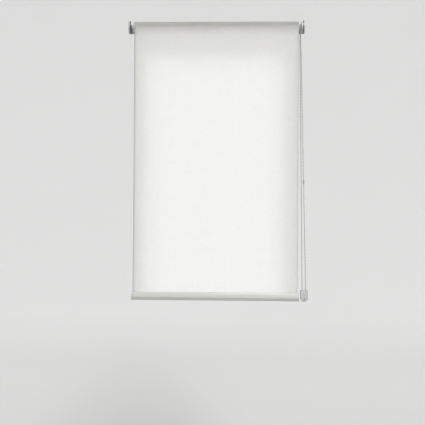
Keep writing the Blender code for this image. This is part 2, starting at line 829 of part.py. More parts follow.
# ---------------------------------------------------------------- tensioner
def build_tensioner(parts, guides):
    """A wall plate with a hollow axle, a pocket-shaped front, the pulley and a screw."""
    place = Matrix.Translation((TENSIONER_X, 0.0, TENSIONER_Z)) @ OUT_OF_WALL
    face = [u_outline(TENSIONER_RADIUS, TENSIONER_TOP), circle(TENSIONER_HOLE, 20)]
    pocket_floor = TENSIONER_DEPTH - TENSIONER_WALL

    finish = grey_plastic("tensioner_back_plastic")
    back = flat("tensioner_back", face, 0.0, TENSIONER_BACK, place, finish, parts)
    sleeve = [
        (TENSIONER_HOLE, pocket_floor - GAP),
        (AXLE_RADIUS, pocket_floor - GAP),
        (AXLE_RADIUS, TENSIONER_BACK / 2),
        (TENSIONER_HOLE, TENSIONER_BACK / 2),
    ]
    axle = turned("tensioner_back_axle", sleeve, place, None, guides, 20, closed=True)
    boolean(back, axle, "UNION")

    finish = grey_plastic("tensioner_front_plastic")
    near = TENSIONER_BACK + GAP
    front = flat("tensioner_front", face, near, TENSIONER_DEPTH, place, finish, parts)
    past = 0.005  # the pocket's cutter runs this far past its open top
    inside = u_outline(TENSIONER_RADIUS - TENSIONER_WALL, TENSIONER_TOP + past)
    low = TENSIONER_BACK - 0.001
    pocket = flat("tensioner_front_pocket", [inside], low, pocket_floor, place, None, guides)
    boolean(front, pocket, "DIFFERENCE")

    section = grooved_profile(
        PULLEY_BORE, PULLEY_RIM, PULLEY_PITCH, PULLEY_HALF, PULLEY_OUT
    )
    finish = white_plastic("pulley_plastic")
    turned("tensioner_pulley", section, place, finish, parts, 32, closed=True)
    pan_screw(
        "tensioner_screw",
        TENSIONER_X,
        TENSIONER_Z,
        TENSIONER_DEPTH + GAP,
        FACE_SCREW_HEAD,
        FACE_SCREW_SHANK,
        parts,
    )


# ---------------------------------------------------------------- assembly
clear_scene()
blind = new_collection("roller_blind")
cutters = new_collection("cutters")
build_brackets(blind, cutters)
build_roller(blind)
build_fabric_drop(blind)
build_bottom_rail(blind, cutters)
build_idle_end(blind, cutters)
build_drive_end(blind, cutters)
build_chain(blind)
build_tensioner(blind, cutters)
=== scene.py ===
import math

import bpy
from mathutils import Matrix, Vector


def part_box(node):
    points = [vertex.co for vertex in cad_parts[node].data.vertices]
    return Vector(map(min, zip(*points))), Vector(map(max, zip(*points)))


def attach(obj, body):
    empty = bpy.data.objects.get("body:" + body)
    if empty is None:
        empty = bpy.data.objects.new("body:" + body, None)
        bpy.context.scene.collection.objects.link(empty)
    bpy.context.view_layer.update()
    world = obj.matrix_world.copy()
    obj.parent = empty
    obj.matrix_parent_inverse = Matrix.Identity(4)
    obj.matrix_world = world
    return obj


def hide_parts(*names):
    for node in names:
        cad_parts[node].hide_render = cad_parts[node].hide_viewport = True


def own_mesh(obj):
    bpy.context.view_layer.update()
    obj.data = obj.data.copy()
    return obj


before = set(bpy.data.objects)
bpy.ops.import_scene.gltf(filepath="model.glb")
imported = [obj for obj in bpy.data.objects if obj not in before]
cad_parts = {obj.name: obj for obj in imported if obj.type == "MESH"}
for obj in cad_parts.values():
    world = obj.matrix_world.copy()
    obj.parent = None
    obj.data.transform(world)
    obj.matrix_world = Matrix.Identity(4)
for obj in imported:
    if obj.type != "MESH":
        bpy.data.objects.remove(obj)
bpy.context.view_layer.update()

# ---- Camera ---------------------------------------------------------------------------
# A person's view from the middle of the room, a little to the right of the blind's middle
# and well below its roller, with a normal lens and the horizon very slightly off level.
CAMERA_PLACE = Vector((0.058, -2.4932, -0.7904))
CAMERA_TURN = math.radians(1.633)
CAMERA_TILT = math.radians(90.432)
CAMERA_LEAN = math.radians(0.364)

camera_data = bpy.data.cameras.new("room_camera")
camera_data.lens = 50.0
camera_data.sensor_width = 36.0
camera = bpy.data.objects.new("room_camera", camera_data)
camera.matrix_world = (
    Matrix.Translation(CAMERA_PLACE)
    @ Matrix.Rotation(CAMERA_TURN, 4, "Z")
    @ Matrix.Rotation(CAMERA_TILT, 4, "X")
    @ Matrix.Rotation(CAMERA_LEAN, 4, "Z")
)
bpy.context.scene.collection.objects.link(camera)
bpy.context.scene.camera = camera


# ---- Studio ---------------------------------------------------------------------------
# A pale floor that sweeps up into a plain backdrop well behind the blind, a broad soft key
# light from the front right, and the daylight of a window close behind the fabric.
# The sweep's paint darkens towards the floor: a grey floor tone, and painted shade up the lower
# backdrop.
FLOOR_LEVEL = -3.6
STAGE_HALF = 16.0
BACKDROP_PLACE = 4.2
BACKDROP_HEIGHT = 8.2
SWEEP = 1.2
PAINT_RISE = 1.7
SNAP = 0.01


def start_fresh():
    """Leaves object mode with nothing selected, ready for a new primitive."""
    if bpy.context.object and bpy.context.object.mode != "OBJECT":
        bpy.ops.object.mode_set(mode="OBJECT")
    bpy.ops.object.select_all(action="DESELECT")


def pick(*pieces):
    """Selects only these pieces, the first one active."""
    start_fresh()
    for piece in pieces:
        piece.select_set(True)
    bpy.context.view_layer.objects.active = pieces[0]


def settle(piece, place=None):
    """Applies a finished piece's place, so that its object sits at the origin, unturned."""
    if place is not None:
        piece.matrix_world = place
    pick(piece)
    bpy.ops.object.transform_apply(location=True, rotation=True, scale=True)
    start_fresh()
    return piece


def use_modifier(piece, kind, **settings):
    """Adds a modifier and applies it at once."""
    pick(piece)
    change = piece.modifiers.new(kind.lower(), kind)
    for key, value in settings.items():
        setattr(change, key, value)
    bpy.ops.object.modifier_apply(modifier=change.name)
    return piece


def select_edges(piece, test):
    """In edit mode, selects the edges whose two ends pass the test."""
    pick(piece)
    bpy.ops.object.mode_set(mode="EDIT")
    bpy.ops.mesh.select_mode(type="EDGE")
    bpy.ops.mesh.select_all(action="DESELECT")
    bpy.ops.object.mode_set(mode="OBJECT")
    points = piece.data.vertices
    for edge in piece.data.edges:
        edge.select = all(test(points[v].co) for v in edge.vertices)
    bpy.ops.object.mode_set(mode="EDIT")


def new_material(name):
    made = bpy.data.materials.new(name)
    made.use_nodes = True
    return made, made.node_tree.nodes, made.node_tree.links


def grain(nodes, links, scale, detail=3.0, stretch=(1.0, 1.0, 1.0)):
    """Noise on the object's own coordinates, closer together along a stretched axis."""
    where = nodes.new("ShaderNodeTexCoord")
    fit = nodes.new("ShaderNodeMapping")
    fit.inputs["Scale"].default_value = stretch
    noise = nodes.new("ShaderNodeTexNoise")
    noise.inputs["Scale"].default_value = scale
    noise.inputs["Detail"].default_value = detail
    links.new(where.outputs["Object"], fit.inputs["Vector"])
    links.new(fit.outputs["Vector"], noise.inputs["Vector"])
    return noise.outputs["Fac"]


def tint(nodes, links, source, low, high):
    """Turns a noise value into a colour from low to high."""
    made = nodes.new("ShaderNodeValToRGB")
    made.color_ramp.elements[0].position = 0.35
    made.color_ramp.elements[0].color = (*low, 1.0)
    made.color_ramp.elements[1].position = 0.65
    made.color_ramp.elements[1].color = (*high, 1.0)
    links.new(source, made.inputs["Fac"])
    return made.outputs["Color"]


def span(nodes, links, source, low, high):
    """Turns a noise value into a number from low to high."""
    made = nodes.new("ShaderNodeMapRange")
    made.inputs["From Min"].default_value = 0.35
    made.inputs["From Max"].default_value = 0.65
    made.inputs["To Min"].default_value = low
    made.inputs["To Max"].default_value = high
    links.new(source, made.inputs["Value"])
    return made.outputs["Result"]


def relief(nodes, links, source, shader, height, strength):
    """A fine bump of the given height in metres."""
    bump = nodes.new("ShaderNodeBump")
    bump.inputs["Strength"].default_value = strength
    bump.inputs["Distance"].default_value = height
    links.new(source, bump.inputs["Height"])
    links.new(bump.outputs["Normal"], shader.inputs["Normal"])
    return bump


def give(piece, finish):
    piece.data.materials.clear()
    piece.data.materials.append(finish)


start_fresh()
bpy.ops.mesh.primitive_plane_add(size=2.0, location=(0, 0, FLOOR_LEVEL))
studio = bpy.context.object
studio.name = "studio_sweep"
studio.scale = (STAGE_HALF, STAGE_HALF, 1.0)
settle(studio)
for corner in studio.data.vertices:
    if corner.co.y > 0:
        corner.co.y = BACKDROP_PLACE
back_line = BACKDROP_PLACE - SNAP
select_edges(studio, lambda co: co.y > back_line)
bpy.ops.mesh.extrude_region_move(TRANSFORM_OT_translate={"value": (0, 0, BACKDROP_HEIGHT)})
select_edges(studio, lambda co: co.y > back_line and co.z < FLOOR_LEVEL + SNAP)
bpy.ops.mesh.bevel(offset=SWEEP, segments=16, affect="EDGES")
start_fresh()
pick(studio)
bpy.ops.object.shade_smooth()
start_fresh()
# Painted shade: the paint fades from the wall's pale tone down to the darker floor tone over
# PAINT_RISE.
studio_paint, nodes, links = new_material("studio_paint")
mottle = grain(nodes, links, 0.6, 2.0)
height = nodes.new("ShaderNodeSeparateXYZ")
rise = nodes.new("ShaderNodeMapRange")
rise.inputs["From Min"].default_value = FLOOR_LEVEL
rise.inputs["From Max"].default_value = FLOOR_LEVEL + PAINT_RISE
floor_shade_mix = nodes.new("ShaderNodeMix")
floor_shade_mix.data_type = "RGBA"
floor_shade_mix.inputs["A"].default_value = (0.60, 0.60, 0.595, 1.0)
coordinates = nodes.new("ShaderNodeTexCoord")
links.new(coordinates.outputs["Object"], height.inputs["Vector"])
links.new(height.outputs["Z"], rise.inputs["Value"])
links.new(rise.outputs["Result"], floor_shade_mix.inputs["Factor"])
links.new(
    tint(nodes, links, mottle, (0.835, 0.835, 0.83), (0.845, 0.845, 0.84)), floor_shade_mix.inputs["B"]
)
links.new(floor_shade_mix.outputs["Result"], nodes["Principled BSDF"].inputs["Base Color"])
nodes["Principled BSDF"].inputs["Roughness"].default_value = 0.9
nodes["Principled BSDF"].inputs["Specular IOR Level"].default_value = 0.2
give(studio, studio_paint)


def add_light(name, kind, strength, place, aim, **settings):
    data = bpy.data.lights.new(name, kind)
    data.energy = strength
    for key, value in settings.items():
        setattr(data, key, value)
    lamp = bpy.data.objects.new(name, data)
    lamp.location = place
    lamp.rotation_euler = (Vector(aim) - Vector(place)).to_track_quat("-Z", "Y").to_euler()
    bpy.context.scene.collection.objects.link(lamp)
    return lamp


BLIND_MIDDLE = (0, 0, -0.5)
WINDOW_LEVEL = -0.80
WINDOW_X = -0.0085
REVEAL_X = 0.011
add_light("key", "SUN", 2.22, (1.0, -4.0, 2.7), BLIND_MIDDLE, angle=math.radians(22))
softbox = add_light(
    "side_softbox",
    "AREA",
    6.0,
    (2.3, -2.2, 0.1),
    BLIND_MIDDLE,
    shape="RECTANGLE",
    size=1.2,
    size_y=1.6,
)
window = add_light(
    "window_daylight",
    "AREA",
    1.28,
    (WINDOW_X, -0.021, WINDOW_LEVEL),
    (WINDOW_X, -1.0, WINDOW_LEVEL),
    shape="RECTANGLE",
    size=0.577,
    size_y=1.34,
    color=(0.97, 0.99, 1.0),
)
reveal = add_light(
    "window_reveal",
    "AREA",
    0.78,
    (REVEAL_X, -0.019, WINDOW_LEVEL),
    (REVEAL_X, -1.0, WINDOW_LEVEL),
    shape="RECTANGLE",
    size=0.655,
    size_y=1.56,
    color=(0.98, 0.99, 1.0),
)
for lamp in (softbox, window, reveal):
    lamp.visible_camera = False
    lamp.visible_glossy = False

room = bpy.data.worlds.new("room")
bpy.context.scene.world = room
room.use_nodes = True
nodes, links = room.node_tree.nodes, room.node_tree.links
direction = nodes.new("ShaderNodeTexCoord")
split = nodes.new("ShaderNodeSeparateXYZ")
sky = nodes.new("ShaderNodeValToRGB")
sky.color_ramp.elements[0].position = 0.05
sky.color_ramp.elements[0].color = (0.22, 0.22, 0.22, 1.0)
sky.color_ramp.elements[1].position = 0.75
sky.color_ramp.elements[1].color = (0.20, 0.20, 0.205, 1.0)
links.new(direction.outputs["Generated"], split.inputs["Vector"])
links.new(split.outputs["Z"], sky.inputs["Fac"])
links.new(sky.outputs["Color"], nodes["Background"].inputs["Color"])
bpy.context.scene.view_settings.view_transform = "Standard"


# ---- Bead chain -----------------------------------------------------------------------
# An endless loop of moulded grey beads on a thread. It runs over the chain wheel beside
# the roll, down to the pulley of the wall tensioner and back, with a quarter turn on the way.
BEAD_RADIUS = 0.00225
THREAD_RADIUS = 0.0006
BEAD_PITCH = 0.006
WHEEL_BEADS = 12
PULLEY_BEADS = 8
WHEEL_HALF = 0.0036
WHEEL_PITCH = WHEEL_BEADS * BEAD_PITCH / (2 * math.pi)
PULLEY_PITCH = PULLEY_BEADS * BEAD_PITCH / (2 * math.pi)


def middle_of(node):
    low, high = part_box(node)
    return (low + high) / 2


axis_y = middle_of("fabric_roll").y
wheel_middle = Vector((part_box("chain_wheel")[1].x - WHEEL_HALF, axis_y, 0.0))
pulley_middle = middle_of("tensioner_pulley")
room_top = wheel_middle - Vector((0, WHEEL_PITCH, 0))
wall_top = wheel_middle + Vector((0, WHEEL_PITCH, 0))
room_foot = pulley_middle + Vector((PULLEY_PITCH, 0, 0))
wall_foot = pulley_middle - Vector((PULLEY_PITCH, 0, 0))


def chain_route():
    """The closed loop: down the room side, round the pulley, up, and over the wheel."""
    straight, under, over = 24, 16, 24
    points = [room_top.lerp(room_foot, k / straight) for k in range(straight)]
    for k in range(under + 1):
        angle = -math.pi * k / under
        reach = Vector((math.cos(angle), 0, math.sin(angle))) * PULLEY_PITCH
        points.append(pulley_middle + reach)
    points += [wall_foot.lerp(wall_top, k / straight) for k in range(1, straight)]
    for k in range(over + 1):
        angle = math.pi * k / over
        reach = Vector((0, math.cos(angle), math.sin(angle))) * WHEEL_PITCH
        points.append(wheel_middle + reach)
    return points


route = chain_route()
steps = [(b - a).length for a, b in zip(route, route[1:])]
chain_length = sum(steps)
bead_count = round(chain_length / BEAD_PITCH)
spacing = chain_length / bead_count
connector_middle = middle_of("chain_connector")
first_bead = ((connector_middle - room_top).length + spacing / 2) % spacing


def place_on_route(distance):
    for start, end, step in zip(route, route[1:], steps):
        if distance <= step:
            return start.lerp(end, distance / step)
        distance -= step
    return route[-1]


def line_piece(name, points, radius, sides, closed=False):
    """A wire, thread or rod: a round line along points, made a mesh."""
    curve = bpy.data.curves.new(name, "CURVE")
    curve.dimensions = "3D"
    curve.bevel_depth = radius
    curve.bevel_resolution = sides
    curve.use_fill_caps = not closed
    spline = curve.splines.new("POLY")
    spline.points.add(len(points) - 1)
    for point, spot in zip(spline.points, points):
        point.co = (*spot, 1.0)
    spline.use_cyclic_u = closed
    made = bpy.data.objects.new(name, curve)
    bpy.context.scene.collection.objects.link(made)
    pick(made)
    bpy.ops.object.convert(target="MESH")
    start_fresh()
    return made


def copy_to(piece, place):
    """A copy of the piece, with its own mesh, moved by the given matrix."""
    made = piece.copy()
    made.data = piece.data.copy()
    made.data.transform(place)
    bpy.context.scene.collection.objects.link(made)
    return made


def joined(pieces):
    pick(*pieces)
    bpy.ops.object.join()
    start_fresh()
    return pieces[0]


chain = line_piece("bead_chain_loop", route[:-1], THREAD_RADIUS, 0, closed=True)
start_fresh()
bpy.ops.mesh.primitive_uv_sphere_add(segments=10, ring_count=6, radius=BEAD_RADIUS)
bead = bpy.context.object
beads = []
for k in range(bead_count):
    spot = place_on_route(first_bead + spacing * k)
    beads.append(copy_to(bead, Matrix.Translation(spot)))
bpy.data.objects.remove(bead, do_unlink=True)
joined([chain, *beads])
pick(chain)
bpy.ops.object.shade_smooth()
start_fresh()


def moulded_plastic(name, colour, roughness, glow=0.0):
    """Moulded plastic: faint flow mottle and a fine eroded skin, milky where it glows."""
    mottle = 0.02
    skin = 0.00002
    made, nodes, links = new_material(name)
    shader = nodes["Principled BSDF"]
    flow = grain(nodes, links, 90.0, 4.0)
    low = [max(0.0, c - mottle) for c in colour]
    shade = tint(nodes, links, flow, low, colour)
    links.new(shade, shader.inputs["Base Color"])
    links.new(
        span(nodes, links, flow, roughness + 0.05, roughness - 0.05), shader.inputs["Roughness"]
    )
    relief(nodes, links, grain(nodes, links, 2600.0, 2.0), shader, skin, 0.5)
    shader.inputs["Specular IOR Level"].default_value = 0.5
    if glow:
        through = nodes.new("ShaderNodeBsdfTranslucent")
        both = nodes.new("ShaderNodeMixShader")
        both.inputs["Fac"].default_value = glow
        links.new(shade, through.inputs["Color"])
        links.new(shader.outputs["BSDF"], both.inputs[1])
        links.new(through.outputs["BSDF"], both.inputs[2])
        links.new(both.outputs["Shader"], nodes["Material Output"].inputs["Surface"])
    return made


def finish_piece(piece, finish, body, node):
    """Gives a piece its material and its body, and hides the part that it stands for."""
    give(piece, finish)
    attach(piece, body)
    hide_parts(node)


finish_piece(
    chain, moulded_plastic("chain_plastic", (0.43, 0.43, 0.425), 0.32), "root", "bead_chain"
)


# ---- Chain connector ------------------------------------------------------------------
# A short moulded clip, a shade paler than the beads, that joins the loop's two ends.
# It is a barrel with chamfered mouths and two windows that the beads click into.
CONNECTOR_LENGTH = 0.016
CONNECTOR_RADIUS = 0.0036
CONNECTOR_BORE = 0.00255
MOUTH_CHAMFER = 0.0006
MOUTH_LENGTH = 0.0012
WAIST_DEPTH = 0.0005
WAIST_TOP = 0.0014
WAIST_FLOOR = 0.0007
CLICK_WINDOW = (0.0013, 0.0017)
CLICK_DEPTH = (-0.0042, -0.0010)
SEAM = 0.000005


def filleted(points, radius, count=3):
    """A closed outline with its corners rounded; corners on the turning axis stay."""
    made = []
    for k, here in enumerate(points):
        corner = Vector(here)
        before = Vector(points[k - 1]) - corner
        after = Vector(points[(k + 1) % len(points)]) - corner
        turn = before.angle(after)
        if corner.x < 1e-6 or turn > math.radians(165):
            made.append(corner)
            continue
        reach = min(radius / math.tan(turn / 2), 0.45 * before.length, 0.45 * after.length)
        start = corner + before.normalized() * reach
        end = corner + after.normalized() * reach
        for j in range(count + 1):
            t = j / count
            made.append(start * (1 - t) ** 2 + corner * 2 * t * (1 - t) + end * t * t)
    return made


def flat_curve(name, outlines, fill, extrude):
    """A flat curve of closed outlines, the later ones holes in the first, as a mesh."""
    curve = bpy.data.curves.new(name, "CURVE")
    curve.dimensions = "2D" if fill else "3D"
    curve.fill_mode = "BOTH" if fill else "FULL"
    curve.extrude = extrude
    for outline in outlines:
        spline = curve.splines.new("POLY")
        spline.points.add(len(outline) - 1)
        for point, (x, y) in zip(spline.points, outline):
            point.co = (x, y, 0.0, 1.0)
        spline.use_cyclic_u = True
    made = bpy.data.objects.new(name, curve)
    bpy.context.scene.collection.objects.link(made)
    pick(made)
    bpy.ops.object.convert(target="MESH")
    start_fresh()
    return made


def tidy_mesh(piece, flat_faces=False):
    """Closes the seams and turns the faces outwards."""
    pick(piece)
    bpy.ops.object.mode_set(mode="EDIT")
    bpy.ops.mesh.select_all(action="SELECT")
    bpy.ops.mesh.remove_doubles(threshold=SEAM)
    if flat_faces:
        bpy.ops.mesh.dissolve_limited(angle_limit=math.radians(0.2))
    bpy.ops.mesh.normals_make_consistent(inside=False)
    start_fresh()
    return piece


def shade(piece, angle=40.0):
    pick(piece)
    bpy.ops.object.shade_smooth_by_angle(angle=math.radians(angle))
    start_fresh()
    return piece


def turned(name, profile, place, count=48):
    """A closed outline of (radius, distance along the axis), turned once round it."""
    made = flat_curve(name, [profile], False, 0.0)
    made.data.transform(Matrix.Rotation(math.radians(90), 4, "X"))
    use_modifier(
        made,
        "SCREW",
        steps=count,
        render_steps=count,
        use_merge_vertices=True,
        merge_threshold=SEAM,
    )
    tidy_mesh(made)
    settle(made, place)
    return shade(made)


def plate(name, outlines, low, high, place, edge=0.0, segments=2):
    """Outlines extruded from low to high, with their sharp edges rounded."""
    made = flat_curve(name, outlines, True, (high - low) / 2)
    made.data.transform(Matrix.Translation((0, 0, (low + high) / 2)))
    tidy_mesh(made, flat_faces=True)
    settle(made, place)
    if edge:
        round_edges(made, edge, segments)
    return shade(made)


def round_edges(piece, width, segments=2, angle=35.0):
    use_modifier(
        piece,
        "BEVEL",
        width=width,
        segments=segments,
        limit_method="ANGLE",
        angle_limit=math.radians(angle),
        use_clamp_overlap=True,
    )
    return shade(piece)


def block(name, low, high, place=None):
    """A block between two corners, ready to cut with or to join on."""
    start_fresh()
    bpy.ops.mesh.primitive_cube_add(size=1.0)
    made = bpy.context.object
    made.name = name
    size = Vector(high) - Vector(low)
    middle = (Vector(high) + Vector(low)) / 2
    made.data.transform(Matrix.Translation(middle) @ Matrix.Diagonal((*size, 1.0)))
    return settle(made, place or Matrix.Identity(4))


def combine(piece, other, operation):
    """Cuts other from the piece, joins it on, or keeps what they share."""
    use_modifier(piece, "BOOLEAN", object=other, operation=operation, solver="EXACT")
    bpy.data.objects.remove(other, do_unlink=True)
    return piece


half = CONNECTOR_LENGTH / 2
sleeve = [
    (CONNECTOR_BORE, half),
    (CONNECTOR_RADIUS - MOUTH_CHAMFER, half),
    (CONNECTOR_RADIUS, half - MOUTH_LENGTH),
    (CONNECTOR_RADIUS, WAIST_TOP),
    (CONNECTOR_RADIUS - WAIST_DEPTH, WAIST_FLOOR),
    (CONNECTOR_RADIUS - WAIST_DEPTH, -WAIST_FLOOR),
    (CONNECTOR_RADIUS, -WAIST_TOP),
    (CONNECTOR_RADIUS, -half + MOUTH_LENGTH),
    (CONNECTOR_RADIUS - MOUTH_CHAMFER, -half),
    (CONNECTOR_BORE, -half),
]
along_strand = (room_top - room_foot).to_track_quat("Z", "Y").to_matrix().to_4x4()
connector = turned(
    "chain_connector_clip", filleted(sleeve, 0.0003), Matrix.Identity(4), count=32
)
wide, tall = CLICK_WINDOW
deep, shallow = CLICK_DEPTH
for end in (-1, 1):
    middle = end * spacing / 2
    window_cut = block(
        "window_cut", (-wide, deep, middle - tall), (wide, shallow, middle + tall)
    )
    combine(connector, window_cut, "DIFFERENCE")
settle(connector, Matrix.Translation(connector_middle) @ along_strand)
shade(connector)
finish_piece(
    connector,
    moulded_plastic("connector_plastic", (0.50, 0.50, 0.50), 0.25),
    "connector",
    "chain_connector",
)


# ---- Brackets -------------------------------------------------------------------------
# Two bent steel brackets, zinc plated. Each has a round-nosed side plate that carries one
# end of the roller, and a flange that turns inwards behind the roll and is screwed down.
PLATE_INNER = 0.358
PLATE_OUTER = 0.360
PLATE_RADIUS = 0.0262
PLATE_HALF_HEIGHT = 0.016
FLANGE_REACH = 0.333
FLANGE_THICK = 0.002
BEND_RADIUS = 0.0025
SCREW_X = 0.3455
SCREW_Z = 0.0095
SIDE_REACH = -0.075
NOSE_BACK = 0.003
BUSH_HOLE = 0.0053
CORE_OPENING = 0.0043
FLANGE_HOLE = 0.0026
EDGE_WEAR = 0.00025
OVERCUT = 0.004
# Outline x, y become world Y, Z and depth runs along +X, or world X, Z and depth outwards.
ALONG_ROLLER = Matrix(((0, 0, 1, 0), (1, 0, 0, 0), (0, 1, 0, 0), (0, 0, 0, 1)))
ON_AXIS = Matrix.Translation((0, axis_y, 0)) @ ALONG_ROLLER
OUT_OF_WALL = Matrix.Rotation(math.radians(90), 4, "X")
LEVEL = Matrix.Identity(4)


def arc(radius, start, end, count, centre=(0.0, 0.0)):
    """Points along an arc, both ends included, angles in degrees."""
    points = []
    for k in range(count + 1):
        angle = math.radians(start + (end - start) * k / count)
        points.append(
            (centre[0] + radius * math.cos(angle), centre[1] + radius * math.sin(angle))
        )
    return points


def circle(radius, count=48, centre=(0.0, 0.0)):
    return arc(radius, 0, 360, count, centre)[:-1]


def rectangle(x0, y0, x1, y1):
    return [(x0, y0), (x1, y0), (x1, y1), (x0, y1)]


def bracket_outline(radius, half_height, back):
    """A D seen from the side: round towards the room, square towards the wall."""
    side = math.degrees(math.asin(half_height / radius))
    nose = arc(radius, side, 360 - side, 48, (axis_y, 0.0))
    return [(back, half_height), *nose, (back, -half_height)]


def zinc_steel(name, colour, roughness):
    """Plated steel: a cloudy bright coat with fine rolling lines and darker wear."""
    made, nodes, links = new_material(name)
    shader = nodes["Principled BSDF"]
    cloud = grain(nodes, links, 160.0, 5.0)
    dull = [c * 0.82 for c in colour]
    links.new(tint(nodes, links, cloud, dull, colour), shader.inputs["Base Color"])
    links.new(
        span(nodes, links, cloud, roughness + 0.12, roughness - 0.06), shader.inputs["Roughness"]
    )
    shader.inputs["Metallic"].default_value = 1.0
    lines = grain(nodes, links, 900.0, 3.0, (1.0, 0.06, 1.0))
    relief(nodes, links, lines, shader, 0.00001, 0.4)
    return made


def bent_bracket(side, name, hole, node):
    """A strip bent to an L, cut to the round nose, then drilled."""
    inside = BEND_RADIUS - FLANGE_THICK
    bend = [(FLANGE_REACH, 0.0)]
    bend += arc(BEND_RADIUS, 90, 0, 6, (PLATE_OUTER - BEND_RADIUS, -BEND_RADIUS))
    bend += [(PLATE_OUTER, SIDE_REACH), (PLATE_INNER, SIDE_REACH)]
    bend += arc(inside, 0, 90, 4, (PLATE_INNER - inside, -FLANGE_THICK - inside))
    bend += [(FLANGE_REACH, -FLANGE_THICK)]
    if side < 0:
        bend = [(-x, y) for x, y in bend]
    made = plate(name, [bend], -PLATE_HALF_HEIGHT, PLATE_HALF_HEIGHT, LEVEL)
    ends = sorted((side * (FLANGE_REACH - OVERCUT), side * (PLATE_OUTER + OVERCUT)))
    nose = bracket_outline(PLATE_RADIUS, PLATE_HALF_HEIGHT + 0.00001, NOSE_BACK)
    combine(made, plate("nose", [nose], *ends, ALONG_ROLLER), "INTERSECT")
    through = sorted((side * (PLATE_INNER - OVERCUT), side * (PLATE_OUTER + OVERCUT)))
    combine(made, plate("hole", [hole], *through, ON_AXIS), "DIFFERENCE")
    for end in (-1, 1):
        screw_hole = circle(FLANGE_HOLE, 24, (side * SCREW_X, end * SCREW_Z))
        drill = plate("screw_hole", [screw_hole], -OVERCUT, FLANGE_THICK + OVERCUT, OUT_OF_WALL)
        combine(made, drill, "DIFFERENCE")
    round_edges(made, EDGE_WEAR, 2, 45.0)
    # Painted shade in part: the steel's dark grey tone also stands in for the shade in the gaps
    # between the plates and the roller's ends.
    finish_piece(made, zinc_steel(name + "_steel", (0.36, 0.36, 0.37), 0.42), "root", node)


core_opening = rectangle(-CORE_OPENING, -CORE_OPENING, CORE_OPENING, CORE_OPENING)
bent_bracket(-1, "left_bracket", circle(BUSH_HOLE), "bracket_left")
bent_bracket(1, "right_bracket", core_opening, "bracket_right")


# ---- Bracket covers -------------------------------------------------------------------
# Moulded caps that clip over the outer face of each bracket and follow its round nose.
# They are thin shells in a light grey plastic with softly rounded edges.
COVER_NEAR = 0.3603
COVER_DEPTH = 0.0052
COVER_RADIUS = 0.0275
COVER_HALF_HEIGHT = 0.0173
COVER_WALL = 0.0015
COVER_BACK = -0.0005
COVER_EDGE = 0.0013
CATCH_MIDDLE = 0.008
CATCH_HALF = 0.003
CATCH_REACH = (-0.0040, -0.0012)
CATCH_GAP = 0.0002
CATCH_SINK = 0.0008
cover_plastic = moulded_plastic("cover_plastic", (0.66, 0.66, 0.65), 0.38)


def bracket_cover(side, name, node):
    far = COVER_NEAR + COVER_DEPTH
    outline = bracket_outline(COVER_RADIUS, COVER_HALF_HEIGHT, COVER_BACK)
    ends = sorted((side * (COVER_NEAR - OVERCUT), side * far))
    made = plate(name, [outline], *ends, ALONG_ROLLER, edge=COVER_EDGE, segments=4)
    inner = bracket_outline(
        COVER_RADIUS - COVER_WALL, COVER_HALF_HEIGHT - COVER_WALL, COVER_BACK - COVER_WALL
    )
    pocket = sorted((side * (COVER_NEAR - 1.5 * OVERCUT), side * (far - COVER_WALL)))
    combine(made, plate("pocket", [inner], *pocket, ALONG_ROLLER), "DIFFERENCE")
    trim = sorted((side * (COVER_NEAR - 2.5 * OVERCUT), side * COVER_NEAR))
    low, high = (trim[0], -0.1, -0.05), (trim[1], 0.02, 0.05)
    combine(made, block("trim", low, high), "DIFFERENCE")
    reach = sorted((side * (COVER_NEAR + CATCH_GAP), side * (far - CATCH_SINK)))
    for end in (-1, 1):
        middle = end * CATCH_MIDDLE
        foot = (reach[0], CATCH_REACH[0], middle - CATCH_HALF)
        head = (reach[1], CATCH_REACH[1], middle + CATCH_HALF)
        combine(made, block("catch", foot, head), "UNION")
    shade(made)
    finish_piece(made, cover_plastic, "root", node)


bracket_cover(-1, "left_cover", "cover_left")
bracket_cover(1, "right_cover", "cover_right")


# ---- Bracket screws -------------------------------------------------------------------
# Pan-head screws of plated steel with a cross recess, two through each wall flange. Their
# threads lie in the wall, so only the head and the shank above the wall are made.
SCREW_HEAD = 0.0022
SHANK_FOOT = 0.0003
HEAD_ROUNDING = 0.0002
RECESS_HALF = 0.00045
RECESS_REACH = 0.55
RECESS_FLOOR = 0.0004
FLANGE_SCREW_HEAD = 0.0040
FLANGE_SCREW_SHANK = 0.0022


def pan_screw(name, node, x, z, seat, head_radius, shank_radius):
    """A domed head above its seat, and the shank down to the wall."""
    head = [
        (0.0, SHANK_FOOT),
        (shank_radius, SHANK_FOOT),
        (shank_radius, seat),
        (head_radius, seat),
        (head_radius, seat + SCREW_HEAD * 0.30),
        (head_radius * 0.90, seat + SCREW_HEAD * 0.66),
        (head_radius * 0.62, seat + SCREW_HEAD * 0.92),
        (0.0, seat + SCREW_HEAD),
    ]
    made = turned(name, filleted(head, HEAD_ROUNDING, 2), OUT_OF_WALL, count=36)
    reach = head_radius * RECESS_REACH
    for turn in (0, 90):
        blade = block(
            "recess",
            (-reach, -RECESS_HALF, seat + RECESS_FLOOR),
            (reach, RECESS_HALF, seat + SCREW_HEAD + OVERCUT),
            OUT_OF_WALL @ Matrix.Rotation(math.radians(turn), 4, "Z"),
        )
        combine(made, blade, "DIFFERENCE")
    settle(made, Matrix.Translation((x, 0, z)))
    shade(made, 35)
    finish_piece(made, screw_steel, "root", node)


screw_steel = zinc_steel("screw_zinc", (0.64, 0.65, 0.67), 0.30)
flange_face = FLANGE_THICK + SHANK_FOOT
for side, hand in ((-1, "left"), (1, "right")):
    for end, level in ((1, "upper"), (-1, "lower")):
        pan_screw(
            f"{hand}_{level}_screw",
            f"bracket_screw_{hand}_{level}",
            side * SCREW_X,
            end * SCREW_Z,
            flange_face,
            FLANGE_SCREW_HEAD,
            FLANGE_SCREW_SHANK,
        )


